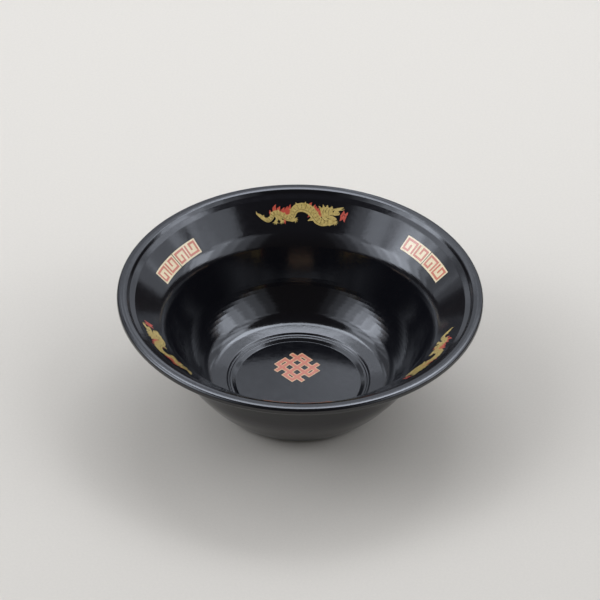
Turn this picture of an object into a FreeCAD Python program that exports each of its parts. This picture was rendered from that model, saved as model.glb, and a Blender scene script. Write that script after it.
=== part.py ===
"""Noodle bowl: one moulded shell with thin printed layers on its brim and floor plate.

Millimetres. +Z is up. The origin is the centre of the foot ring's underside, so the bowl stands on z = 0.
The prints are films lying on the shell: three dragons round the brim, a fret panel between each two of
them, and a knot ornament on the floor plate.
"""
import FreeCAD, Part
import math
import os

import Sketcher

V = FreeCAD.Vector
OUT = "parts"

# Angle about Z of each dragon; angle and rise up the brim of each fret panel. The transfers are laid by
# hand, and the panels sit a little unevenly.
DRAGON_ANGLES = (90, 210, 330)
FRET_PLACES = [(149.0, -2.5), (270.0, -2.5), (32.8, 0.8)]

doc = FreeCAD.newDocument("noodle_bowl")
sheet = doc.addObject("Spreadsheet::Sheet", "Sizes")
sizes = {}


def put_sizes(values):
    """Adds named sizes to the sheet, one row each, as plain numbers."""
    for name, value in values:
        row = len(sizes) + 1
        sheet.set(f"A{row}", name)
        sheet.set(f"B{row}", repr(value))
        sheet.setAlias(f"B{row}", name)
        sizes[name] = value


# ---------------------------------------------------------------- driving sizes

RIM_RADIUS = 100.0
BOWL_HEIGHT = 67.0
BRIM_SLOPE = 0.835         # rise per unit of radius on the straight printed band of the brim
BRIM_FOOT = (73.0, 49.3)   # corner where the wall turns out into the brim


def brim_height(radius):
    """Height of the brim's straight upper face at this radius."""
    return BRIM_FOOT[1] + BRIM_SLOPE * (radius - BRIM_FOOT[0])


SHOULDER_RADIUS = 90.2
BEAD_EDGE_HEIGHT = 66.65
BEAD_CROWN_ROUNDING = 8.0
BEAD_CROWN_HEIGHT = 67.12  # sharp corner of the crown, which its rounding brings down to the bowl's height

# The section's corners, from the plate's centre out along the inside, over the lip and back along the
# outside to the underside's centre. Each is (name, radius, height, rounding radius).
SECTION = [
    ("plate_centre", 0.0, 4.9, 0),
    ("plate_edge", 34.6, 4.9, 0.8),
    ("low_ring_foot", 36.9, 5.75, 0.8),
    ("low_ring_edge", 37.9, 5.85, 0.4),
    ("high_ring_foot", 38.3, 6.2, 0.4),
    ("high_ring_edge", 39.1, 6.3, 0.5),
    ("recess_edge", 39.8, 7.0, 1.2),
    ("cove", 50.5, 8.6, 13.0),
    ("wall_bend", 61.0, 20.3, 45.0),
    ("brim_foot", *BRIM_FOOT, 20.0),
    ("shoulder", SHOULDER_RADIUS, brim_height(SHOULDER_RADIUS), 1.5),
    ("crease", 93.2, 64.9, 1.2),
    ("bead_edge_inner", 94.6, BEAD_EDGE_HEIGHT, 0.9),
    ("bead_crown", 97.3, BEAD_CROWN_HEIGHT, BEAD_CROWN_ROUNDING),
    ("bead_edge_top", RIM_RADIUS, BEAD_EDGE_HEIGHT, 1.5),
    ("bead_edge_under", RIM_RADIUS, 63.0, 1.9),
    ("brim_under", 92.5, 61.9, 8.0),
    ("brim_foot_under", 77.2, 49.1, 15.0),
    ("wall_bend_under", 66.9, 25.0, 63.0),
    ("wall_base_bend", 56.5, 10.6, 40.0),
    ("wall_base", 49.3, 2.6, 1.2),
    ("foot_neck", 46.0, 2.6, 0.6),
    ("foot_outer", 45.5, 0.0, 0.8),
    ("foot_inner", 42.3, 0.0, 0.8),
    ("foot_root", 41.6, 4.6, 0.6),
    ("under_groove", 38.6, 4.6, 0.6),
    ("under_disc_edge", 37.6, 1.9, 0.6),
    ("under_disc_centre", 0.0, 1.9, 0),
]

for corner, radius, height, rounding in SECTION:
    if radius:
        put_sizes([(corner + "_radius", radius)])
    if height:
        put_sizes([(corner + "_height", height)])
    if rounding:
        put_sizes([(corner + "_rounding", rounding)])

FILM = 0.1                 # thickness of one printed layer
FILM_INNER, FILM_OUTER = 76.8, 89.4
put_sizes([
    ("film_thickness", FILM),
    ("film_inner_radius", FILM_INNER),
    ("film_outer_radius", FILM_OUTER),
    ("film_inner_height", brim_height(FILM_INNER)),
    ("film_outer_height", brim_height(FILM_OUTER)),
    ("key_inner_height", brim_height(FILM_INNER) + FILM),
    ("key_outer_height", brim_height(FILM_OUTER) + FILM),
    ("print_prism_height", BOWL_HEIGHT + 5.0),
])
doc.recompute()


# ---------------------------------------------------------------- helpers

def origin_plane(body, role):
    """The body's own origin plane with that role."""
    return next(f for f in body.Origin.OriginFeatures if f.Role == role)


def closed_outline(sketch, corners):
    """Draws straight sides through the corners and ties each corner to the sheet's named sizes.

    A corner is (name, radius, height); a zero coordinate is held on the sketch's axis instead."""
    last = len(corners) - 1
    for i, (_, r, z) in enumerate(corners):
        _, r_next, z_next = corners[0 if i == last else i + 1]
        sketch.addGeometry(Part.LineSegment(V(r, z, 0), V(r_next, z_next, 0)), False)
    for i in range(len(corners)):
        after = 0 if i == last else i + 1
        sketch.addConstraint(Sketcher.Constraint("Coincident", i, 2, after, 1))
    for i, (name, r, z) in enumerate(corners):
        for kind, value, axis, size in (("DistanceX", r, -2, "_radius"), ("DistanceY", z, -1, "_height")):
            if value == 0:
                sketch.addConstraint(Sketcher.Constraint("PointOnObject", i, 1, axis))
                continue
            number = sketch.addConstraint(Sketcher.Constraint(kind, -1, 1, i, 1, value))
            sketch.renameConstraint(number, name + size)
            if name + size in sizes:
                sketch.setExpression(f"Constraints.{name}{size}", f"Sizes.{name}{size}")


def turned_body(label, corners):
    """A body turned about Z from a closed section."""
    body = doc.addObject("PartDesign::Body", label)
    sketch = body.newObject("Sketcher::SketchObject", label + "_section")
    sketch.AttachmentSupport = [(origin_plane(body, "XZ_Plane"), "")]
    sketch.MapMode = "FlatFace"
    closed_outline(sketch, corners)
    turn = body.newObject("PartDesign::Revolution", label + "_turn")
    turn.Profile = sketch
    turn.ReferenceAxis = (sketch, ["V_Axis"])
    turn.Angle = 360.0
    doc.recompute()
    return body, turn


def ring_edge(feature, radius, height):
    """The name of the feature's circular edge with this radius at this height."""
    for i, edge in enumerate(feature.Shape.Edges, 1):
        curve = edge.Curve
        if not isinstance(curve, Part.Circle):
            continue
        if abs(curve.Radius - radius) < 0.01 and abs(curve.Center.z - height) < 0.01:
            return f"Edge{i}"
    raise RuntimeError(f"no ring edge at radius {radius}, height {height}")


def round_corners(body, feature, corners):
    """Rounds each ring edge of a turned body by its own radius from the sheet."""
    for name, radius, height, rounding in corners:
        if not rounding:
            continue
        fillet = body.newObject("PartDesign::Fillet", name + "_round")
        fillet.Base = (feature, [ring_edge(feature, radius, height)])
        fillet.setExpression("Radius", f"Sizes.{name}_rounding")
        doc.recompute()
        feature = fillet


def flat_faces(*faces):
    """One planar shape from faces that may overlap, joined as slabs whose undersides are kept."""
    slabs = [face.extrude(V(0, 0, 1)) for face in faces]
    joined = slabs[0].multiFuse(slabs[1:]).removeSplitter()
    return Part.makeCompound([face for face in joined.Faces if abs(face.CenterOfMass.z) < 1e-6])


def drawing(name, shape):
    """A flat drawing in the XY plane, kept in the document as the base of a print."""
    sheet_face = doc.addObject("Part::Feature", name + "_drawing")
    sheet_face.Shape = shape
    return sheet_face


def prism(name, base, size):
    """The drawing drawn up along Z by a size of the sheet."""
    solid = doc.addObject("Part::Extrusion", name + "_prism")
    solid.Base = base
    solid.DirMode = "Custom"
    solid.Dir = V(0, 0, 1)
    solid.Solid = True
    solid.setExpression("LengthFwd", f"Sizes.{size}")
    return solid


def film_corners(name):
    """Section of a film that lies on the brim: lower edge, upper edge, and both again one layer higher."""
    r_in, r_out = sizes["film_inner_radius"], sizes["film_outer_radius"]
    low, high = sizes[name + "_inner_height"], sizes[name + "_outer_height"]
    return [(r_in, low), (r_out, high), (r_out, high + FILM), (r_in, low + FILM)]


def film_ring(name):
    """A thin conical ring one layer thick, from which the prints are cut."""
    corners = [V(r, 0, z) for r, z in film_corners(name)]
    section = doc.addObject("Part::Feature", name + "_film_section")
    section.Shape = Part.Face(Part.makePolygon(corners + corners[:1]))
    ring = doc.addObject("Part::Revolution", name + "_film_ring")
    ring.Source = section
    ring.Axis = V(0, 0, 1)
    ring.Base = V(0, 0, 0)
    ring.Angle = 360.0
    ring.Solid = True
    return ring


def printed(label, stock, ring, angle):
    """The part of the film ring inside the drawing's prism, turned to its place on the brim."""
    piece = doc.addObject("Part::Common", label)
    piece.Base = ring
    piece.Tool = stock
    piece.Label = label
    piece.Placement = FreeCAD.Placement(V(0, 0, 0), FreeCAD.Rotation(V(0, 0, 1), angle - 90))
    return piece


# ---------------------------------------------------------------- brim drawings, made at 90 degrees

DRAWING_RADIUS = 82.3      # radius of the drawings' middle line


def on_brim(across, out):
    """Plan position of a point of a brim drawing: across runs clockwise, out runs up the brim's slope."""
    radius = DRAWING_RADIUS + out / math.hypot(1, BRIM_SLOPE)
    turn = across / DRAWING_RADIUS
    return V(radius * math.sin(turn), radius * math.cos(turn), 0)


def polygon_face(points):
    """A flat face with straight sides through drawing points."""
    corners = [on_brim(*p) for p in points]
    return Part.Face(Part.makePolygon(corners + corners[:1]))


def ribbon_face(line, widths, steps=3):
    """A tapering ribbon along a smooth line: half widths are given at the line's points."""
    curve = Part.BSplineCurve()
    curve.interpolate([V(x, y, 0) for x, y in line])
    knots = [curve.parameter(V(x, y, 0)) for x, y in line]
    left, right = [], []
    for i in range(len(line) - 1):
        for k in range(steps):
            share = k / steps
            at = knots[i] + (knots[i + 1] - knots[i]) * share
            along = curve.tangent(at)[0]
            half = widths[i] + (widths[i + 1] - widths[i]) * share
            centre = curve.value(at)
            left.append((centre.x - along.y * half, centre.y + along.x * half))
            right.append((centre.x + along.y * half, centre.y - along.x * half))
    return polygon_face(left + [line[-1]] + right[::-1])


def tongue_face(root, tip, width, bend):
    """A curved flame, horn or spur from its root to its pointed tip, leaning sideways by bend."""
    along = V(tip[0] - root[0], tip[1] - root[1], 0)
    side = V(-along.y, along.x, 0).normalize()
    middle = V(*root, 0) + along * 0.5 + side * bend
    return ribbon_face([root, (middle.x, middle.y), tip], [width / 2, width * 0.42, 0.0])


BODY_LINE = [(-25.3, 3.5), (-23.6, 2.1), (-21.6, -0.1), (-19.3, -1.6), (-17.4, -0.6), (-16.2, 1.3),
             (-14.3, 2.3), (-11.8, 1.3), (-9.2, -0.4), (-6.9, -1.2), (-5.3, 0.2), (-4.4, 2.6), (-2.6, 4.5),
             (0.2, 5.1), (3.2, 4.4), (5.6, 2.6), (7.5, 0.3), (9.4, -1.9), (12.4, -2.9), (15.2, -2.0),
             (16.0, 0.6)]
BODY_HALF_WIDTH = [0.1, 0.85, 1.0, 1.0, 1.15, 1.4, 1.5, 1.5, 1.55, 1.6, 1.75, 2.0, 2.4, 2.6, 2.6, 2.5, 2.4,
                   2.3, 2.1, 1.9, 1.8]
HEAD = [(10.2, 3.6), (9.0, 6.4), (11.0, 5.5), (11.2, 7.5), (12.6, 6.0), (13.6, 7.4), (14.6, 5.9), (16.2, 7.0),
        (17.0, 5.7), (19.2, 6.5), (22.4, 7.4), (20.6, 5.3), (20.0, 4.5), (20.9, 3.8), (20.8, 2.7),
        (19.2, 2.1), (17.4, 1.6), (18.9, 0.9), (19.9, 0.1), (19.2, -1.0), (17.2, -1.8), (15.6, -3.0),
        (13.0, -1.6), (11.2, 0.6)]
# Each leg is its line, its half widths there, and the heading of its paw in degrees.
LEGS = [
    ([(-14.4, 1.4), (-13.8, -0.8), (-15.0, -2.6)], [1.1, 0.85, 0.55], -105),
    ([(-13.0, 0.6), (-12.2, -1.2), (-11.5, -2.5)], [1.0, 0.85, 0.55], -75),
    ([(-7.4, -1.2), (-5.4, -2.2), (-3.8, -2.1)], [1.3, 1.05, 0.7], -25),
    ([(13.4, -3.0), (16.4, -3.2), (19.2, -2.0)], [1.2, 0.95, 0.7], -25),
]
CLAW_SPREAD = (-60, -20, 20, 60)
CLAW_LENGTH = 1.9
PAD_RADIUS = 0.75
SPURS = [((6.8, -1.4), (3.5, -2.6), 1.7, -0.2), ((-24.4, 2.4), (-24.9, 4.6), 0.9, 0.2),
         ((17.6, -1.4), (16.4, -4.6), 1.3, 0.3), ((19.8, 5.6), (23.2, 6.4), 0.6, -0.3)]
FLAMES = [
    ((-16.8, 1.4), (-17.3, 4.4), 1.5, 0.3), ((-14.8, 3.0), (-13.9, 7.2), 2.2, 0.5),
    ((-12.7, 2.4), (-11.6, 6.0), 2.3, 0.5), ((-10.6, 1.4), (-9.4, 5.2), 2.3, 0.4),
    ((-8.6, 0.6), (-7.6, 5.8), 2.7, 0.5), ((-6.6, 0.8), (-6.1, 6.8), 2.5, 0.4),
    ((4.4, 6.0), (5.3, 8.1), 1.6, 0.3), ((6.6, 4.4), (7.3, 7.0), 1.6, 0.3),
    ((8.0, 2.8), (7.9, 6.2), 1.9, 0.3), ((9.3, 1.6), (9.0, 5.4), 2.2, 0.3),
    ((10.5, 1.0), (10.2, 4.6), 2.2, 0.3), ((-9.6, -1.4), (-9.4, -4.4), 1.5, -0.2),
    ((4.6, 1.6), (3.4, -0.6), 1.2, 0.2),
]
BALL_CENTRE = (23.3, 2.3)
BALL_RADIUS = 1.75
BALL_FLAMES = [((22.6, 3.2), (22.8, 5.6), 1.6, -0.3), ((24.1, 3.0), (25.2, 5.2), 1.5, -0.2),
               ((22.5, 1.4), (21.8, -0.6), 1.4, 0.2), ((24.2, 1.4), (24.7, -0.8), 1.4, -0.2)]


def paw_face(centre, heading):
    """A paw: a round pad with pointed claws fanned about its heading."""
    spokes = [(180, PAD_RADIUS), (-110, PAD_RADIUS)]
    for turn in CLAW_SPREAD:
        spokes += [(turn, CLAW_LENGTH), (turn + 20, PAD_RADIUS)]
    spokes[-1] = (110, PAD_RADIUS)
    points = []
    for turn, reach in spokes:
        angle = math.radians(heading + turn)
        points.append((centre[0] + reach * math.cos(angle), centre[1] + reach * math.sin(angle)))
    return polygon_face(points)


def dragon_gold():
    """The gold pass of a dragon: body, head, legs with their paws, and spurs."""
    faces = [ribbon_face(BODY_LINE, BODY_HALF_WIDTH), polygon_face(HEAD)]
    for line, widths, heading in LEGS:
        faces += [ribbon_face(line, widths), paw_face(line[-1], heading)]
    return flat_faces(*faces, *[tongue_face(*spur) for spur in SPURS])


def dragon_red(gold):
    """The red pass: flames along the back and mane, and the ball of fire, where the gold leaves them bare."""
    ball = Part.Face(Part.Wire(Part.makeCircle(BALL_RADIUS, on_brim(*BALL_CENTRE))))
    return flat_faces(ball, *[tongue_face(*flame) for flame in FLAMES + BALL_FLAMES]).cut(gold)


CELL_LENGTH = 18.6         # one of a fret panel's two cells, along the brim
CELL_HEIGHT = 9.1
CELL_GAP = 0.5             # bare shell between the cells
KEY_BORDER = 0.95          # pale border round the keys
KEY_LINE = 1.2             # width of a key line
KEY_PATH = [(4, 0), (4, 4), (0, 4), (0, 0), (2.15, 0), (2.15, 2.1)]
LONGEST_SIDE = 3.2         # sides along the brim are divided to follow its curve


def bar(across, out, across_end, out_end):
    """A bar in drawing coordinates, its long sides following the brim."""
    parts = max(1, math.ceil((across_end - across) / LONGEST_SIDE))
    row = [across + (across_end - across) * k / parts for k in range(parts + 1)]
    return polygon_face([(x, out) for x in row] + [(x, out_end) for x in reversed(row)])


def cell_starts():
    """Where each cell of a panel begins, along the brim."""
    return (-CELL_LENGTH - CELL_GAP / 2, CELL_GAP / 2)


def fret_ground(rise):
    """A panel's pale ground: two cells with a gap between them."""
    low, high = rise - CELL_HEIGHT / 2, rise + CELL_HEIGHT / 2
    return Part.makeCompound([bar(x, low, x + CELL_LENGTH, high) for x in cell_starts()])


def spiral_bars(start, width, rise, turned):
    """One square spiral as bars along its path on a grid of five by five lines."""
    height = CELL_HEIGHT - 2 * KEY_BORDER
    step_x, step_y = (width - KEY_LINE) / 4, (height - KEY_LINE) / 4
    bars = []
    for corner, after in zip(KEY_PATH, KEY_PATH[1:]):
        ends = [(4 - x, 4 - y) if turned else (x, y) for x, y in (corner, after)]
        left, right = sorted(start + x * step_x for x, _ in ends)
        low, high = sorted(rise - height / 2 + y * step_y for _, y in ends)
        bars.append(bar(left, low, right + KEY_LINE, high + KEY_LINE))
    return bars


def fret_keys(rise):
    """Two square spirals in each cell of a panel, the second the first turned half round."""
    width = (CELL_LENGTH - 3 * KEY_BORDER) / 2
    bars = []
    for x in cell_starts():
        bars += spiral_bars(x + KEY_BORDER, width, rise, turned=False)
        bars += spiral_bars(x + 2 * KEY_BORDER + width, width, rise, turned=True)
    return flat_faces(*bars)


# ---------------------------------------------------------------- floor ornament

KNOT_CENTRE = V(-0.9, 11.5, 0)
KNOT_PITCH = 5.9           # spacing of the knot's crossing bands
KNOT_BAND = 1.8            # width of a red band
KNOT_EDGE = 0.5            # pale outline left showing round the bands
KNOT_BANDS = 3             # bands in each direction
KNOT_LOOP = 0.62           # reach of the loops beyond the lattice, in pitches


def turned_bar(length, width, middle, turn):
    """A bar with its middle at a point, turned with that point about the knot's centre."""
    face = Part.makePlane(length, width, V(middle[0] - length / 2, middle[1] - width / 2, 0))
    face.rotate(V(0, 0, 0), V(0, 0, 1), turn)
    face.translate(KNOT_CENTRE)
    return face


def knot(extra):
    """An endless knot: bands crossing at 45 degrees, joined in pairs by loops outside the lattice."""
    band = KNOT_BAND + 2 * extra
    reach = KNOT_PITCH * ((KNOT_BANDS - 1) / 2 + KNOT_LOOP)
    faces = []
    for k in range(KNOT_BANDS):
        beside = (k - (KNOT_BANDS - 1) / 2) * KNOT_PITCH
        faces += [turned_bar(2 * reach + band, band, (0, beside), turn) for turn in (45, 135)]
    for turn in (45, 135, 225, 315):
        faces.append(turned_bar(band, KNOT_PITCH + band, (reach, KNOT_PITCH / 2), turn))
    return flat_faces(*faces)


# ---------------------------------------------------------------- sub-parts

def make_bowl():
    """The moulded shell, turned from its section and rounded corner by corner."""
    body, turn = turned_body("bowl", [(name, r, z) for name, r, z, _ in SECTION])
    round_corners(body, turn, SECTION)
    return body


def make_emblem(label, faces, height):
    """One printed layer of the floor ornament, starting at a height."""
    layer = prism(label, drawing(label, faces), "film_thickness")
    layer.Label = label
    layer.Placement = FreeCAD.Placement(V(0, 0, height), FreeCAD.Rotation())
    return layer


def brim_prism(name, faces):
    """A brim drawing drawn up through the whole bowl."""
    return prism(name, drawing(name, faces), "print_prism_height")


def make_prints():
    """Every printed layer, in the order in which they lie on the shell."""
    plate = SECTION[0][2]
    ground_ring, key_ring = film_ring("film"), film_ring("key")
    gold_faces = dragon_gold()
    gold = brim_prism("dragon_gold", gold_faces)
    red = brim_prism("dragon_red", dragon_red(gold_faces))
    prints = []
    for number, (dragon, (fret, rise)) in enumerate(zip(DRAGON_ANGLES, FRET_PLACES), 1):
        ground_name, key_name = f"fret_ground_{number}", f"fret_key_{number}"
        prints.append(printed(f"dragon_gold_{number}", gold, ground_ring, dragon))
        prints.append(printed(f"dragon_red_{number}", red, ground_ring, dragon))
        prints.append(printed(ground_name, brim_prism(ground_name, fret_ground(rise)), ground_ring, fret))
        prints.append(printed(key_name, brim_prism(key_name, fret_keys(rise)), key_ring, fret))
    prints.append(make_emblem("emblem_ground", knot(KNOT_EDGE), plate))
    prints.append(make_emblem("emblem_red", knot(0), plate + FILM))
    return prints


def check(objects):
    """Stops if any object failed to build or any sub-part has no valid shape."""
    for thing in doc.Objects:
        if "Invalid" in thing.State or "Error" in thing.State:
            raise RuntimeError(f"{thing.Name} did not build: {thing.State}")
    for thing in objects:
        if thing.Shape.isNull() or not thing.Shape.isValid() or not thing.Shape.Solids:
            raise RuntimeError(f"{thing.Label} has no valid solid")


sub_parts = [make_bowl()] + make_prints()
doc.recompute()
check(sub_parts)
os.makedirs(OUT, exist_ok=True)
for sub_part in sub_parts:
    sub_part.Shape.exportStep(os.path.join(OUT, sub_part.Label + ".step"))
    print(f"{sub_part.Label}: {len(sub_part.Shape.Solids)} solids, {sub_part.Shape.Volume:.2f} mm3")
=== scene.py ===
"""Looks of the noodle bowl: the lathed shell, its printed layers, and a plain studio. Metres, +Z up."""

import math

import bpy
import numpy as np
from mathutils import Matrix, Vector
from mathutils.geometry import delaunay_2d_cdt


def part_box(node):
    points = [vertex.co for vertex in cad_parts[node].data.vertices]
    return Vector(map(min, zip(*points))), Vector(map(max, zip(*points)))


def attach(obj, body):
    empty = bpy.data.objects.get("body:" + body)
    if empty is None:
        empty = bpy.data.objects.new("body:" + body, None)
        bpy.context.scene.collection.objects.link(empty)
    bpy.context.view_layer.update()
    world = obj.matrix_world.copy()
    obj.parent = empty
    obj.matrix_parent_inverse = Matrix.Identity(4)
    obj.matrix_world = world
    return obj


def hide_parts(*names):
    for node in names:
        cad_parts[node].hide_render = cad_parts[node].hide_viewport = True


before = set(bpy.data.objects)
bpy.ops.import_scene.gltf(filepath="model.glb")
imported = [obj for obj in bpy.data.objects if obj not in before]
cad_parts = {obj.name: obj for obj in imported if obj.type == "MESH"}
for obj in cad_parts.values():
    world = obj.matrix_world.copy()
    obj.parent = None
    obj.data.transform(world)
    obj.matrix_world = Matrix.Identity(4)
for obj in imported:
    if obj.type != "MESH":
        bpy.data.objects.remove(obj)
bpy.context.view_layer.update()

MM = 0.001
BOWL_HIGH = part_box("bowl")[1]
RIM_RADIUS = BOWL_HIGH.x / MM


# ---------------------------------------------------------------- shell section, in millimetres

BRIM_SLOPE = 0.835         # rise per unit of radius on the straight printed band of the brim
BRIM_FOOT = (73.0, 49.3)   # corner where the wall turns out into the brim
SHOULDER_RADIUS = 90.2     # where the straight band ends under the lip


def brim_height(radius):
    """Height of the brim's straight upper face at this radius."""
    return BRIM_FOOT[1] + BRIM_SLOPE * (radius - BRIM_FOOT[0])


# Corners of the section (radius, height, rounding) from the plate's centre out along the inside, over the
# lip and back along the outside. They are the CAD shell's own corners.
SECTION = [
    (0.0, 4.9, 0),
    (34.6, 4.9, 0.8),
    (36.9, 5.75, 0.8),
    (37.9, 5.85, 0.4),
    (38.3, 6.2, 0.4),
    (39.1, 6.3, 0.5),
    (39.8, 7.0, 1.2),
    (50.5, 8.6, 13.0),
    (61.0, 20.3, 45.0),
    (*BRIM_FOOT, 20.0),
    (SHOULDER_RADIUS, brim_height(SHOULDER_RADIUS), 1.5),
    (93.2, 64.9, 1.2),
    (94.6, 66.65, 0.9),
    (97.3, 67.12, 8.0),
    (RIM_RADIUS, 66.65, 1.5),
    (RIM_RADIUS, 63.0, 1.9),
    (92.5, 61.9, 8.0),
    (77.2, 49.1, 15.0),
    (66.9, 25.0, 63.0),
    (56.5, 10.6, 40.0),
    (49.3, 2.6, 1.2),
    (46.0, 2.6, 0.6),
    (45.5, 0.0, 0.8),
    (42.3, 0.0, 0.8),
    (41.6, 4.6, 0.6),
    (38.6, 4.6, 0.6),
    (37.6, 1.9, 0.6),
    (0.0, 1.9, 0),
]
ARC_STEP = math.radians(3.0)   # largest step round a corner's arc
FEWEST_ARC_STEPS = 3
LONGEST_SIDE = 4.0         # longest straight side left undivided
EDGE_LOOP = 0.2            # a loop this far from each end of a straight side keeps its shading flat
SHORTEST_DIVIDED = 4 * EDGE_LOOP   # sides up to this length are left whole
LATHE_STEPS = 180          # steps of the shell round its axis


def rounded(corners):
    """The section as points, each corner replaced by an arc that touches both of its sides."""
    points = [Vector(corners[0][:2])]
    for before, corner, after in zip(corners, corners[1:], corners[2:]):
        here = Vector(corner[:2])
        back = (Vector(before[:2]) - here).normalized()
        ahead = (Vector(after[:2]) - here).normalized()
        inner = back.angle(ahead)
        turn = math.pi - inner
        setback = corner[2] * math.tan(turn / 2)
        centre = here + (back + ahead).normalized() * (corner[2] / math.sin(inner / 2))
        start, end = here + back * setback, here + ahead * setback
        steps = max(FEWEST_ARC_STEPS, math.ceil(turn / ARC_STEP))
        for k in range(steps + 1):
            spoke = (start - centre).slerp(end - centre, k / steps)
            points.append(centre + spoke * corner[2])
    points.append(Vector(corners[-1][:2]))
    return points


def with_edge_loops(points):
    """The section with its long sides divided, and a loop close to each end of them."""
    result = [points[0]]
    for a, b in zip(points, points[1:]):
        length = (b - a).length
        if length > SHORTEST_DIVIDED:
            result.append(a.lerp(b, EDGE_LOOP / length))
            parts = math.ceil(length / LONGEST_SIDE)
            result += [a.lerp(b, k / parts) for k in range(1, parts)]
            result.append(a.lerp(b, 1 - EDGE_LOOP / length))
        result.append(b)
    return result


def new_object(name, vertices, faces, smooth=True):
    """A mesh object from points in millimetres."""
    mesh = bpy.data.meshes.new(name)
    mesh.from_pydata([Vector(v) * MM for v in vertices], [], faces)
    mesh.validate()
    if smooth:
        mesh.shade_smooth()
    piece = bpy.data.objects.new(name, mesh)
    bpy.context.scene.collection.objects.link(piece)
    return piece


def lathe(name, section):
    """The section turned about Z; its two ends lie on the axis."""
    rings = section[1:-1]
    vertices = [(0, 0, section[0].y), (0, 0, section[-1].y)]
    for point in rings:
        for k in range(LATHE_STEPS):
            angle = 2 * math.pi * k / LATHE_STEPS
            vertices.append((point.x * math.cos(angle), point.x * math.sin(angle), point.y))
    faces = []
    last = 2 + (len(rings) - 1) * LATHE_STEPS
    for k in range(LATHE_STEPS):
        after = (k + 1) % LATHE_STEPS
        faces.append((0, 2 + k, 2 + after))
        faces.append((1, last + after, last + k))
        for ring in range(len(rings) - 1):
            low = 2 + ring * LATHE_STEPS
            high = low + LATHE_STEPS
            faces.append((low + k, high + k, high + after, low + after))
    return new_object(name, vertices, faces)


# ---------------------------------------------------------------- drawing tools, in millimetres

CURVE_STEPS = 6            # steps of a smooth line from one of its points to the next
TONGUE_MIDDLE = 0.42       # half width at the middle of a tongue, as a share of its width
TONGUE_TIP = 0.04          # half width left at a tongue's tip
INNER_SPACING = 2.0        # spacing of the points added inside a filled drawing
INNER_START = (0.37, 0.41)     # where they start, in spacings: uneven, so that few fall on an outline
WELD_DISTANCE = 1e-4       # points of a filled drawing closer than this become one
WHOLE_HULL = 0             # delaunay_2d_cdt's output type that gives triangles over the whole convex hull
BEND_SPACING = 2.0         # spacing of the points along a rectangle that has to bend


def smooth_line(points, closed=False):
    """A smooth curve through the points (Catmull-Rom)."""
    count = len(points)
    spans = count if closed else count - 1
    result = []
    for i in range(spans):
        if closed:
            a, b, c, d = (Vector(points[(i + k) % count][:2]) for k in (-1, 0, 1, 2))
        else:
            a, b, c, d = (Vector(points[min(max(i + k, 0), count - 1)][:2]) for k in (-1, 0, 1, 2))
        for k in range(CURVE_STEPS):
            t = k / CURVE_STEPS
            result.append(0.5 * (2 * b + (c - a) * t + (2 * a - 5 * b + 4 * c - d) * t * t
                                 + (3 * b - a - 3 * c + d) * t ** 3))
    if not closed:
        result.append(Vector(points[-1][:2]))
    return result


def width_at(half_widths, step):
    """The half width at a step of a smooth line, run evenly between the ones given at its points."""
    place = step / CURVE_STEPS
    low = min(int(place), len(half_widths) - 2)
    return half_widths[low] + (half_widths[low + 1] - half_widths[low]) * (place - low)


def ribbon(points, half_widths):
    """Triangles along a smooth line, its half width running through the ones given at its points."""
    line = smooth_line(points)
    shapes, sides = [], []
    for i, here in enumerate(line):
        along = (line[min(i + 1, len(line) - 1)] - line[max(i - 1, 0)]).normalized()
        across = Vector((-along.y, along.x)) * width_at(half_widths, i)
        sides.append((here + across, here - across))
    for (a, b), (c, d) in zip(sides, sides[1:]):
        shapes += [[a, b, d], [a, d, c]]
    return shapes


def disc(centre, radius, steps=20):
    """A round outline."""
    angles = [2 * math.pi * k / steps for k in range(steps)]
    return [Vector((centre[0] + radius * math.cos(a), centre[1] + radius * math.sin(a))) for a in angles]


def tongue(root, tip, width, bend):
    """A curved flame, fin or claw from its root to its pointed tip, its middle moved sideways by bend."""
    root, tip = Vector(root), Vector(tip)
    along = tip - root
    side = Vector((-along.y, along.x)).normalized()
    middle = root.lerp(tip, 0.5) + side * bend
    return ribbon([root, middle, tip], [width / 2, width * TONGUE_MIDDLE, TONGUE_TIP])


def covered(shape, centres):
    """Which of the centres lie inside the outline."""
    x, y = centres[:, 0], centres[:, 1]
    inside = np.zeros(len(centres), dtype=bool)
    for a, b in zip(shape, shape[1:] + shape[:1]):
        if a[1] != b[1]:
            crossing = a[0] + (y - a[1]) * (b[0] - a[0]) / (b[1] - a[1])
            inside ^= ((a[1] > y) != (b[1] > y)) & (x < crossing)
    return inside


def filled(adds, cuts=()):
    """Points and triangles that cover the union of adds less cuts, with inner points so that they bend."""
    vertices, edges = [], []
    for shape in [*adds, *cuts]:
        first = len(vertices)
        vertices += [Vector(point) for point in shape]
        edges += [(first + k, first + (k + 1) % len(shape)) for k in range(len(shape))]
    low = Vector((min(v.x for v in vertices), min(v.y for v in vertices)))
    high = Vector((max(v.x for v in vertices), max(v.y for v in vertices)))
    for i in range(int((high.x - low.x) / INNER_SPACING) + 1):
        for j in range(int((high.y - low.y) / INNER_SPACING) + 1):
            inner = Vector(((i + INNER_START[0]) * INNER_SPACING, (j + INNER_START[1]) * INNER_SPACING))
            vertices.append(low + inner)
    points, _, triangles, *_ = delaunay_2d_cdt(vertices, edges, [], WHOLE_HULL, WELD_DISTANCE)
    centres = np.array([(points[i] + points[j] + points[k]) / 3 for i, j, k in triangles])
    kept = np.zeros(len(centres), dtype=bool)
    for shape in adds:
        kept |= covered(shape, centres)
    for shape in cuts:
        kept &= ~covered(shape, centres)
    return points, [triangle for triangle, keep in zip(triangles, kept) if keep]


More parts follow.
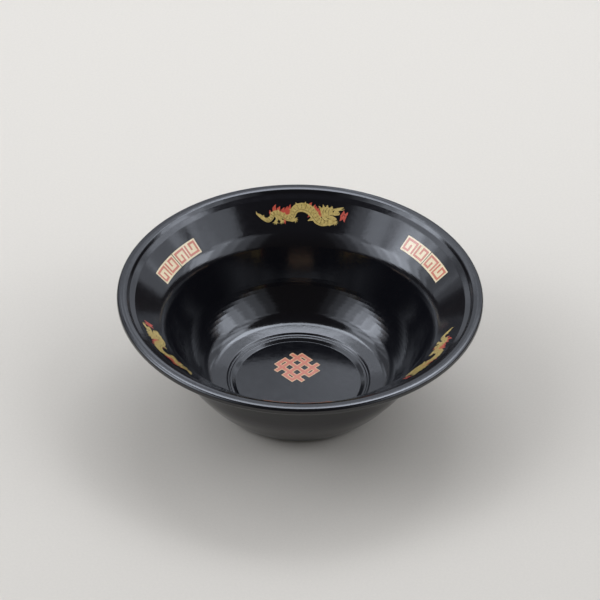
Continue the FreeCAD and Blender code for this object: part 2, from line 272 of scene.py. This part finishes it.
def film(name, drawing, place, low, high):
    """A printed film: the filled drawing placed on a surface, from height low to height high above it."""
    points, triangles = drawing
    used = sorted({i for t in triangles for i in t})
    number = {old: new for new, old in enumerate(used)}
    triangles = [tuple(number[i] for i in t) for t in triangles]
    count = len(used)
    vertices = [place(points[i], high) for i in used] + [place(points[i], low) for i in used]
    sides = {edge: True for a, b, c in triangles for edge in ((a, b), (b, c), (c, a))}
    borders = [edge for edge in sides if (edge[1], edge[0]) not in sides]   # sides of one triangle only
    faces = list(triangles)
    faces += [(c + count, b + count, a + count) for a, b, c in triangles]
    faces += [(b, a, a + count, b + count) for a, b in borders]
    return new_object(name, vertices, faces, smooth=False)


# ---------------------------------------------------------------- where the prints lie

DRAWING_RADIUS = 82.3      # radius of the brim drawings' middle line
SLOPE_LENGTH = math.hypot(1, BRIM_SLOPE)
FILM = 0.1                 # how far one printed layer stands out from what it lies on
SINK = 0.03                # how far a film's underside goes into what it lies on


def on_brim(turn, rise):
    """Placing function for the brim at an angle: x runs clockwise along the brim, y up its slope."""
    def place(point, lift):
        radius = DRAWING_RADIUS + (point[1] + rise) / SLOPE_LENGTH
        angle = math.radians(turn) - point[0] / DRAWING_RADIUS
        return radius * math.cos(angle), radius * math.sin(angle), brim_height(radius) + lift
    return place


PLATE_HEIGHT = SECTION[0][1]
KNOT_CENTRE = (-0.9, 11.5)     # the floor ornament's centre, from the plate's


def on_plate(point, lift):
    """Placing function for the floor plate, measured from the ornament's centre."""
    return point[0] + KNOT_CENTRE[0], point[1] + KNOT_CENTRE[1], PLATE_HEIGHT + lift


# ---------------------------------------------------------------- dragon drawing

BODY_LINE = [
    (-25.3, 3.5), (-23.6, 2.1), (-21.6, -0.1), (-19.3, -1.6), (-17.4, -0.6), (-16.2, 1.3), (-14.3, 2.3),
    (-11.8, 1.3), (-9.2, -0.4), (-6.9, -1.2), (-5.3, 0.2), (-4.4, 2.6), (-2.6, 4.5), (0.2, 5.1),
    (3.2, 4.4), (5.6, 2.6), (7.5, 0.3), (9.4, -1.9), (12.4, -2.9), (15.2, -2.0), (16.0, 0.6),
]
BODY_WIDTH = [
    0.1, 0.85, 1.0, 1.0, 1.15, 1.4, 1.5,
    1.5, 1.55, 1.6, 1.75, 2.0, 2.4, 2.6,
    2.6, 2.5, 2.4, 2.3, 2.1, 1.9, 1.8,
]
HEAD = [
    (10.2, 3.6), (9.0, 6.4), (11.0, 5.5), (11.2, 7.5), (12.6, 6.0), (13.6, 7.4), (14.6, 5.9), (16.2, 7.0),
    (17.0, 5.7), (19.2, 6.5), (22.4, 7.4), (20.6, 5.3), (20.0, 4.5), (20.9, 3.8), (20.8, 2.7), (19.2, 2.1),
    (17.4, 1.6), (18.9, 0.9), (19.9, 0.1), (19.2, -1.0), (17.2, -1.8), (15.6, -3.0), (13.0, -1.6),
    (11.2, 0.6),
]
EYE = (17.3, 4.1)
# Each leg is its line, its half widths there, and the heading of its paw in degrees.
LEGS = [
    ([(-14.4, 1.4), (-13.8, -0.8), (-15.0, -2.6)], [1.1, 0.85, 0.55], -105),
    ([(-13.0, 0.6), (-12.2, -1.2), (-11.5, -2.5)], [1.0, 0.85, 0.55], -75),
    ([(-7.4, -1.2), (-5.4, -2.2), (-3.8, -2.1)], [1.3, 1.05, 0.7], -25),
    ([(13.4, -3.0), (16.4, -3.2), (19.2, -2.0)], [1.2, 0.95, 0.7], -25),
]
# Each spur, like each flame below, is its root, tip, width and bend.
SPURS = [((6.8, -1.4), (3.5, -2.6), 1.7, -0.2), ((-24.4, 2.4), (-24.9, 4.6), 0.9, 0.2),
         ((17.6, -1.4), (16.4, -4.6), 1.3, 0.3), ((19.8, 5.6), (23.2, 6.4), 0.6, -0.3)]
PAW_RADIUS = 0.75
CLAW_SPREAD = (-60, -20, 20, 60)   # degrees from the paw's heading
CLAW_LENGTH = 1.9
CLAW_WIDTH = 0.75
CLAW_BEND = 0.28
FIN_STEPS = slice(10, None, 7)     # steps of the body's curve with a back fin
FIN_ROOT = 0.7             # where a fin starts, as a share of the body's half width
FIN_REACH = 0.8            # its reach beyond the back
FIN_LEAN = 0.7             # how far its tip leans towards the tail
FIN_WIDTH = 1.0
FIN_BEND = 0.1
SCALE_STEPS = slice(16, None, 4)   # steps with a pair of scale lines
SCALE_PLACES = (-0.05, 0.5)    # their middles across the body, as shares of its half width
SCALE_REACH = 0.25         # how far they run to each side of that, as a share too
SCALE_BULGE = 0.4
SCALE_LINE = [0.05, 0.13, 0.05]    # half widths
BELLY_STEPS = slice(14, -10, 3)    # steps that the belly line passes
BELLY_PLACE = 0.5          # its distance from the body's middle line, as a share of the half width
BELLY_LINE = 0.1           # its half width
FACE_LINE_END = 0.06       # half width at both ends of a face line


def body_frames():
    """Point, direction, sideways direction and half width at each inner step of the body's curve."""
    line = smooth_line(BODY_LINE)
    frames = []
    for i in range(1, len(line) - 1):
        along = (line[i + 1] - line[i - 1]).normalized()
        frames.append((line[i], along, Vector((-along.y, along.x)), width_at(BODY_WIDTH, i)))
    return frames


def claws(centre, heading):
    """A paw: a round pad with curved claws fanned about its heading."""
    shapes = [disc(centre, PAW_RADIUS)]
    for turn in CLAW_SPREAD:
        angle = math.radians(heading + turn)
        tip = (centre[0] + CLAW_LENGTH * math.cos(angle), centre[1] + CLAW_LENGTH * math.sin(angle))
        shapes += tongue(centre, tip, CLAW_WIDTH, CLAW_BEND)
    return shapes


# Each face line is its points and its half width, and each dot its centre and radius.
FACE_LINES = [
    ([(16.0, 4.9), (17.3, 5.0), (18.6, 4.4)], 0.14), ([(15.2, 1.4), (16.6, 1.9), (18.4, 1.9)], 0.2),
    ([(13.9, 5.6), (13.0, 4.0), (13.6, 2.4)], 0.12), ([(15.4, 5.2), (14.6, 3.6), (15.0, 1.6)], 0.12),
    ([(12.2, 5.0), (11.6, 3.4), (12.2, 1.6)], 0.12), ([(13.4, 0.8), (14.8, -0.2), (16.8, -0.2)], 0.12),
    ([(11.6, -0.6), (13.6, -1.8), (15.8, -1.6)], 0.12),
]
FACE_DOTS = [(EYE, 0.45), ((20.2, 3.5), 0.22), ((18.2, 0.3), 0.16), ((19.0, 0.2), 0.16)]


def dragon_gold_shapes():
    """The gold pass: body, back fins, legs, head and horns, less the fine unprinted lines."""
    frames = body_frames()
    adds = ribbon(BODY_LINE, BODY_WIDTH) + [smooth_line(HEAD, closed=True)]
    for here, along, side, half in frames[FIN_STEPS]:
        tip = here + side * (half + FIN_REACH) - along * FIN_LEAN
        adds += tongue(here + side * (half * FIN_ROOT), tip, FIN_WIDTH, FIN_BEND)
    for line, widths, heading in LEGS:
        adds += ribbon(line, widths) + claws(line[-1], heading)
    for spur in SPURS:
        adds += tongue(*spur)
    cuts = []
    for here, along, side, half in frames[SCALE_STEPS]:
        for share in SCALE_PLACES:
            root = here + side * (half * (share - SCALE_REACH))
            tip = here + side * (half * (share + SCALE_REACH))
            cuts += ribbon([root, here + side * half * share + along * SCALE_BULGE, tip], SCALE_LINE)
    belly = [here - side * (half * BELLY_PLACE) for here, _, side, half in frames[BELLY_STEPS]]
    cuts += ribbon(belly, [BELLY_LINE] * len(belly))
    for line, half in FACE_LINES:
        cuts += ribbon(line, [FACE_LINE_END] + [half] * (len(line) - 2) + [FACE_LINE_END])
    cuts += [disc(centre, radius) for centre, radius in FACE_DOTS]
    return adds, cuts


FLAMES = [
    ((-16.8, 1.4), (-17.3, 4.4), 1.5, 0.3), ((-14.8, 3.0), (-13.9, 7.2), 2.2, 0.5),
    ((-12.7, 2.4), (-11.6, 6.0), 2.3, 0.5), ((-10.6, 1.4), (-9.4, 5.2), 2.3, 0.4),
    ((-8.6, 0.6), (-7.6, 5.8), 2.7, 0.5), ((-6.6, 0.8), (-6.1, 6.8), 2.5, 0.4),
    ((4.4, 6.0), (5.3, 8.1), 1.6, 0.3), ((6.6, 4.4), (7.3, 7.0), 1.6, 0.3),
    ((8.0, 2.8), (7.9, 6.2), 1.9, 0.3), ((9.3, 1.6), (9.0, 5.4), 2.2, 0.3),
    ((10.5, 1.0), (10.2, 4.6), 2.2, 0.3), ((-9.6, -1.4), (-9.4, -4.4), 1.5, -0.2),
    ((4.6, 1.6), (3.4, -0.6), 1.2, 0.2),
]
FLAME_ROOT = 0.42          # radius of the disc at a flame's root, as a share of its width
BALL_CENTRE = (23.3, 2.3)
BALL_RADIUS = 1.75
BALL_STEPS = 28
BALL_CURL = ([(22.7, 2.0), (23.1, 3.1), (24.1, 2.8), (23.9, 1.9)], [0.1, 0.16, 0.16, 0.08])
BALL_FLAMES = [((22.6, 3.2), (22.8, 5.6), 1.6, -0.3), ((24.1, 3.0), (25.2, 5.2), 1.5, -0.2),
               ((22.5, 1.4), (21.8, -0.6), 1.4, 0.2), ((24.2, 1.4), (24.7, -0.8), 1.4, -0.2)]


def dragon_red_shapes():
    """The red pass: flames at the back, mane and belly, and the ball of fire less its curl."""
    adds = [disc(BALL_CENTRE, BALL_RADIUS, BALL_STEPS)]
    for root, tip, width, bend in FLAMES + BALL_FLAMES:
        adds += [disc(root, width * FLAME_ROOT)] + tongue(root, tip, width, bend)
    return adds, ribbon(*BALL_CURL)


# ---------------------------------------------------------------- fret and knot drawings

CELL_LENGTH = 18.6         # one of the panel's two cells, along the brim
CELL_HEIGHT = 9.1
CELL_GAP = 0.5             # bare shell between the cells
KEY_BORDER = 0.95          # pale border round the keys
KEY_LINE = 1.2             # width of a key's bars
KEY_STEPS = 4              # steps of a key's grid each way
KEY_PATH = [(4, 0), (4, 4), (0, 4), (0, 0), (2.15, 0), (2.15, 2.1)]    # the way its bars run on that grid


def rectangle(x0, y0, x1, y1):
    """A rectangle with points along its long sides, so that it bends with the brim."""
    parts = max(1, round((x1 - x0) / BEND_SPACING))
    bottom = [Vector((x0 + (x1 - x0) * k / parts, y0)) for k in range(parts + 1)]
    top = [Vector((p.x, y1)) for p in reversed(bottom)]
    return bottom + top


def fret_cells():
    """Left end of each cell of a panel."""
    return (-CELL_LENGTH - CELL_GAP / 2, CELL_GAP / 2)


def fret_ground_shapes():
    """The pale ground: two cells with a gap between them."""
    return [rectangle(x, -CELL_HEIGHT / 2, x + CELL_LENGTH, CELL_HEIGHT / 2) for x in fret_cells()]


def spiral(x0, width, flipped):
    """One square spiral as bars: up the right side, along the top, down the left side and in to the middle,
    or all that turned half round."""
    height = CELL_HEIGHT - 2 * KEY_BORDER
    step_x = (width - KEY_LINE) / KEY_STEPS
    step_y = (height - KEY_LINE) / KEY_STEPS
    low = -height / 2
    bars = []
    for (ax, ay), (bx, by) in zip(KEY_PATH, KEY_PATH[1:]):
        if flipped:
            ax, ay, bx, by = KEY_STEPS - ax, KEY_STEPS - ay, KEY_STEPS - bx, KEY_STEPS - by
        left, right = sorted((x0 + ax * step_x, x0 + bx * step_x))
        bottom, top = sorted((low + ay * step_y, low + by * step_y))
        bars.append(rectangle(left, bottom, right + KEY_LINE, top + KEY_LINE))
    return bars


def fret_key_shapes():
    """Two spirals in each cell, the second the first turned half round."""
    width = (CELL_LENGTH - 3 * KEY_BORDER) / 2
    bars = []
    for x in fret_cells():
        bars += spiral(x + KEY_BORDER, width, flipped=False)
        bars += spiral(x + 2 * KEY_BORDER + width, width, flipped=True)
    return bars


KNOT_PITCH = 5.9           # spacing of the knot's crossing bands
KNOT_BAND = 1.8            # width of a red band
KNOT_EDGE = 0.5            # pale outline left showing round the bands
KNOT_BANDS = 3             # bands in each direction
KNOT_REACH = 0.62          # how far the bands run on beyond the outermost crossings, in pitches


def turned(shape, degrees):
    """The outline turned about the ornament's centre."""
    c, s = math.cos(math.radians(degrees)), math.sin(math.radians(degrees))
    return [Vector((p[0] * c - p[1] * s, p[0] * s + p[1] * c)) for p in shape]


def knot_shapes(extra):
    """An endless knot: bands at 45 degrees both ways, and on each side a bar that joins two of their ends.
    Each band is wider by extra on both sides."""
    outermost = KNOT_PITCH * (KNOT_BANDS - 1) / 2
    half = KNOT_BAND / 2 + extra
    end = outermost + KNOT_PITCH * KNOT_REACH + half
    shapes = []
    for k in range(KNOT_BANDS):
        beside = (k - (KNOT_BANDS - 1) / 2) * KNOT_PITCH
        band = rectangle(-end, beside - half, end, beside + half)
        shapes += [turned(band, 45), turned(band, 135)]
    bar = rectangle(end - 2 * half, -half, end, KNOT_PITCH + half)
    shapes += [turned(bar, 45 + 90 * k) for k in range(4)]
    return shapes


# ---------------------------------------------------------------- materials

NOISE_RANGE = (0.3, 0.7)   # where most of a noise's values lie
BLACK = (0.005, 0.005, 0.0065)
BLACK_ROUGHNESS = (0.10, 0.15)
MELAMINE_IOR = 1.58
PRINT_ROUGHNESS = 0.35
PRINT_COAT_ROUGHNESS = 0.12


def material(name, colour, roughness, coat=0.0, coat_roughness=0.05):
    """A Principled material with these values, returned with its node tree and its shader."""
    made = bpy.data.materials.new(name)
    made.use_nodes = True
    shader = made.node_tree.nodes["Principled BSDF"]
    shader.inputs["Base Color"].default_value = (*colour, 1)
    shader.inputs["Roughness"].default_value = roughness
    shader.inputs["Coat Weight"].default_value = coat
    shader.inputs["Coat Roughness"].default_value = coat_roughness
    return made, made.node_tree, shader


def noise(tree, scale, detail, roughness=0.5):
    """Noise over the object's own coordinates; scale is in features per metre."""
    where = tree.nodes.new("ShaderNodeTexCoord")
    pattern = tree.nodes.new("ShaderNodeTexNoise")
    pattern.inputs["Scale"].default_value = scale
    pattern.inputs["Detail"].default_value = detail
    pattern.inputs["Roughness"].default_value = roughness
    tree.links.new(where.outputs["Object"], pattern.inputs["Vector"])
    return pattern.outputs["Fac"]


def spread(tree, value, low, high):
    """A noise value spread over low to high, and held there beyond its usual range."""
    ranged = tree.nodes.new("ShaderNodeMapRange")
    ranged.inputs["From Min"].default_value, ranged.inputs["From Max"].default_value = NOISE_RANGE
    ranged.inputs["To Min"].default_value = low
    ranged.inputs["To Max"].default_value = high
    tree.links.new(value, ranged.inputs["Value"])
    return ranged.outputs["Result"]


def two_tones(tree, shader, value, first, second):
    """Base colour that drifts between two tones with the value."""
    mix = tree.nodes.new("ShaderNodeMix")
    mix.data_type = "RGBA"
    mix.inputs["A"].default_value = (*first, 1)
    mix.inputs["B"].default_value = (*second, 1)
    tree.links.new(value, mix.inputs["Factor"])
    tree.links.new(mix.outputs["Result"], shader.inputs["Base Color"])


def bumped(tree, shader, value, strength, distance):
    """Relief from the value, distance metres deep at full strength."""
    bump = tree.nodes.new("ShaderNodeBump")
    bump.inputs["Strength"].default_value = strength
    bump.inputs["Distance"].default_value = distance
    tree.links.new(value, bump.inputs["Height"])
    tree.links.new(bump.outputs["Normal"], shader.inputs["Normal"])


def moulded_black():
    """Near-black gloss melamine with the faint ripple of a moulded face."""
    made, tree, shader = material("moulded_black", BLACK, BLACK_ROUGHNESS[0])
    shader.inputs["IOR"].default_value = MELAMINE_IOR
    patches = spread(tree, noise(tree, scale=260, detail=4), *BLACK_ROUGHNESS)
    tree.links.new(patches, shader.inputs["Roughness"])
    bumped(tree, shader, noise(tree, scale=420, detail=2), strength=0.05, distance=0.0004)
    return made


def print_ink(name, first, second):
    """A printed colour under a gloss coat, a little uneven in tone and in its surface."""
    made, tree, shader = material(name, first, PRINT_ROUGHNESS,
                                  coat=1.0, coat_roughness=PRINT_COAT_ROUGHNESS)
    two_tones(tree, shader, spread(tree, noise(tree, scale=900, detail=4), 0.0, 1.0), first, second)
    bumped(tree, shader, noise(tree, scale=2500, detail=2), strength=0.08, distance=0.0001)
    return made


# ---------------------------------------------------------------- build the pieces

def finish_piece(piece, finish, slot, *nodes):
    """Gives a piece its material and its place in the frame."""
    piece.data.materials.append(finish)
    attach(piece, "root")
    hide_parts(*nodes)


black = moulded_black()
gold = print_ink("gold_print", (0.60, 0.45, 0.15), (0.38, 0.26, 0.065))
red = print_ink("red_print", (0.56, 0.085, 0.045), (0.42, 0.05, 0.03))
orange = print_ink("orange_print", (0.62, 0.17, 0.085), (0.54, 0.13, 0.06))
cream = print_ink("cream_print", (0.84, 0.68, 0.42), (0.76, 0.58, 0.32))
pale_gold = print_ink("pale_gold_print", (0.80, 0.50, 0.27), (0.70, 0.42, 0.20))

finish_piece(lathe("bowl_shell", with_edge_loops(rounded(SECTION))), black, "bowl_black", "bowl")

# Each print's angle about Z in degrees, and how far up the brim it lies from the drawings' middle line.
DRAGON_PLACES = [(90, 0), (210, 0), (330, 0)]
FRET_PLACES = [(149, -2.5), (270, -2.5), (32.8, 0.8)]
gold_adds, gold_cuts = dragon_gold_shapes()
red_adds, red_cuts = dragon_red_shapes()
gold_fill = filled(gold_adds, gold_cuts)
red_fill = filled(red_adds, red_cuts + gold_adds)
ground_fill = filled(fret_ground_shapes())
key_fill = filled(fret_key_shapes())
for number, (dragon, fret) in enumerate(zip(DRAGON_PLACES, FRET_PLACES), 1):
    prints = [
        ("dragon_gold", gold_fill, dragon, -SINK, FILM, gold, "print_gold"),
        ("dragon_red", red_fill, dragon, -SINK, FILM, red, "print_red"),
        ("fret_ground", ground_fill, fret, -SINK, FILM, cream, "print_cream"),
        ("fret_key", key_fill, fret, FILM - SINK, 2 * FILM, orange, "print_red"),
    ]
    for kind, drawing, where, low, high, finish, slot in prints:
        node = f"{kind}_{number}"
        finish_piece(film(f"print_{node}", drawing, on_brim(*where), low, high), finish, slot, node)

finish_piece(film("print_emblem_ground", filled(knot_shapes(KNOT_EDGE)), on_plate, -SINK, FILM),
             pale_gold, "print_pale_gold", "emblem_ground")
finish_piece(film("print_emblem_red", filled(knot_shapes(0)), on_plate, FILM - SINK, 2 * FILM),
             orange, "print_red", "emblem_red")


# ---------------------------------------------------------------- studio, in metres

TARGET = Vector((0.0, 0.0, 0.05))  # the point that the lights face
LIGHT_COLOUR = (0.93, 1.0, 1.13)
# Name, heading, span, elevations, radiance and distance of each light. The side panels overlap, so that one
# tone runs into the next.
PANELS = [
    ("key_lamp", 4, 34, (50, 65), 5.0, 1.3),
    ("back_gap", 4, 34, (40, 50), 1.5, 1.5),
    ("left_far_fade", 219, 20, (12, 56), 0.12, 2.2),
    ("left_fade", 229, 20, (12, 56), 0.32, 2.2),
    ("left_soft", 239, 20, (13, 47), 0.75, 2.2),
    ("left_middle", 249, 20, (15, 46), 1.3, 2.2),
    ("left_main", 259, 20, (17, 46), 1.9, 2.2),
    ("left_window_front", 269, 20, (18, 45), 2.5, 2.2),
    ("left_window_back", 279, 20, (19, 44), 2.4, 2.2),
    ("left_edge", 293, 10, (18, 45), 0.9, 2.2),
    ("left_back", 303, 16, (16, 45), 0.6, 2.0),
    ("back_left", 322, 24, (16, 45), 0.4, 1.8),
    ("back_middle", 349, 30, (16, 40), 0.8, 1.8),
    ("back_right", 18, 28, (16, 40), 0.85, 1.8),
    ("right_back", 43, 22, (16, 44), 0.75, 1.8),
    ("right_side_back", 64, 20, (18, 46), 1.1, 2.0),
    ("right_edge", 78, 10, (18, 42), 1.2, 2.2),
    ("right_window", 89, 18, (17, 38), 2.6, 2.2),
    ("right_main", 98, 22, (16, 46), 1.5, 2.2),
    ("right_soft", 110, 24, (14, 49), 0.85, 2.2),
    ("right_fade", 122, 24, (12, 52), 0.5, 2.2),
    ("right_far_fade", 134, 24, (12, 52), 0.25, 2.2),
    ("high_left_front", 244, 20, (47, 61), 0.9, 1.6),
    ("high_left", 264, 20, (46, 60), 1.5, 1.6),
    ("high_left_back", 287, 26, (45, 62), 1.8, 1.6),
    ("high_back_left", 316, 32, (45, 64), 1.6, 1.4),
    ("high_back_right", 38, 32, (44, 64), 2.1, 1.4),
    ("high_right_back", 67, 26, (46, 62), 1.6, 1.5),
    ("high_right", 93, 26, (46, 60), 1.3, 1.6),
]


def panel(name, heading, span, elevations, radiance, distance):
    """A rectangular light facing the bowl. heading is its direction in degrees clockwise from +Y as seen
    from above, span its angular width, and radiance how bright its face looks in a mirror."""
    low, high = elevations
    width = 2 * distance * math.tan(math.radians(span / 2))
    height = 2 * distance * math.tan(math.radians((high - low) / 2))
    light = bpy.data.lights.new(name, "AREA")
    light.shape = "RECTANGLE"
    light.size, light.size_y = width, height
    light.energy = radiance * math.pi * width * height
    light.color = LIGHT_COLOUR
    lamp = bpy.data.objects.new(name, light)
    azimuth, elevation = math.radians(heading), math.radians((low + high) / 2)
    way = Vector((math.sin(azimuth) * math.cos(elevation), math.cos(azimuth) * math.cos(elevation),
                  math.sin(elevation)))
    lamp.location = TARGET + way * distance
    lamp.rotation_euler = (-way).to_track_quat("-Z", "Y").to_euler()
    lamp.visible_camera = False
    bpy.context.scene.collection.objects.link(lamp)


FLOOR_COLOUR = (0.65, 0.595, 0.51)
FLOOR_DARKER = 0.95        # the floor's darker tone, as a share of its colour
FLOOR_ROUGHNESS = 0.9
FLOOR_HALF = 2500.0        # half the floor's side, in millimetres
SURROUNDINGS_COLOUR = (1.0, 0.85, 0.75)
SURROUNDINGS_STRENGTH = 0.05


def floor_plane():
    """A plain pale table top with a faint grain."""
    corners = [(-FLOOR_HALF, -FLOOR_HALF, 0), (FLOOR_HALF, -FLOOR_HALF, 0),
               (FLOOR_HALF, FLOOR_HALF, 0), (-FLOOR_HALF, FLOOR_HALF, 0)]
    plane = new_object("floor", corners, [(0, 1, 2, 3)])
    made, tree, shader = material("floor_cloth", FLOOR_COLOUR, FLOOR_ROUGHNESS)
    darker = tuple(FLOOR_DARKER * channel for channel in FLOOR_COLOUR)
    grain = noise(tree, scale=700, detail=5, roughness=0.7)
    two_tones(tree, shader, spread(tree, grain, 0.0, 1.0), FLOOR_COLOUR, darker)
    plane.data.materials.append(made)


def surroundings():
    """Dim even light from everywhere."""
    world = bpy.data.worlds.new("studio")
    world.use_nodes = True
    back = world.node_tree.nodes["Background"]
    back.inputs["Color"].default_value = (*SURROUNDINGS_COLOUR, 1)
    back.inputs["Strength"].default_value = SURROUNDINGS_STRENGTH
    bpy.context.scene.world = world


CAMERA_DISTANCE = 2.2
CAMERA_ELEVATION = math.radians(38.3)
CAMERA_ROLL = math.radians(1.1)
LENS_MM = 241.8
SENSOR_MM = 36.0
AIM = Vector((0.0, 0.0, 65 * MM))
AIM_DROP = 2.4 * MM        # the view's centre lies this far below the rim's centre in the picture


def place_camera():
    """The camera, looking down on the bowl from the front with a long lens."""
    data = bpy.data.cameras.new("camera")
    data.lens = LENS_MM
    data.sensor_width = SENSOR_MM
    camera = bpy.data.objects.new("camera", data)
    back = Vector((0, -math.cos(CAMERA_ELEVATION), math.sin(CAMERA_ELEVATION)))
    up = Vector((0, math.sin(CAMERA_ELEVATION), math.cos(CAMERA_ELEVATION)))
    camera.location = AIM + back * CAMERA_DISTANCE - up * AIM_DROP
    turn = (-back).to_track_quat("-Z", "Y").to_matrix().to_4x4()
    camera.rotation_euler = (turn @ Matrix.Rotation(CAMERA_ROLL, 4, "Z")).to_euler()
    bpy.context.scene.collection.objects.link(camera)
    bpy.context.scene.camera = camera


for light in PANELS:
    panel(*light)
floor_plane()
surroundings()
place_camera()
bpy.context.scene.view_settings.view_transform = "Standard"
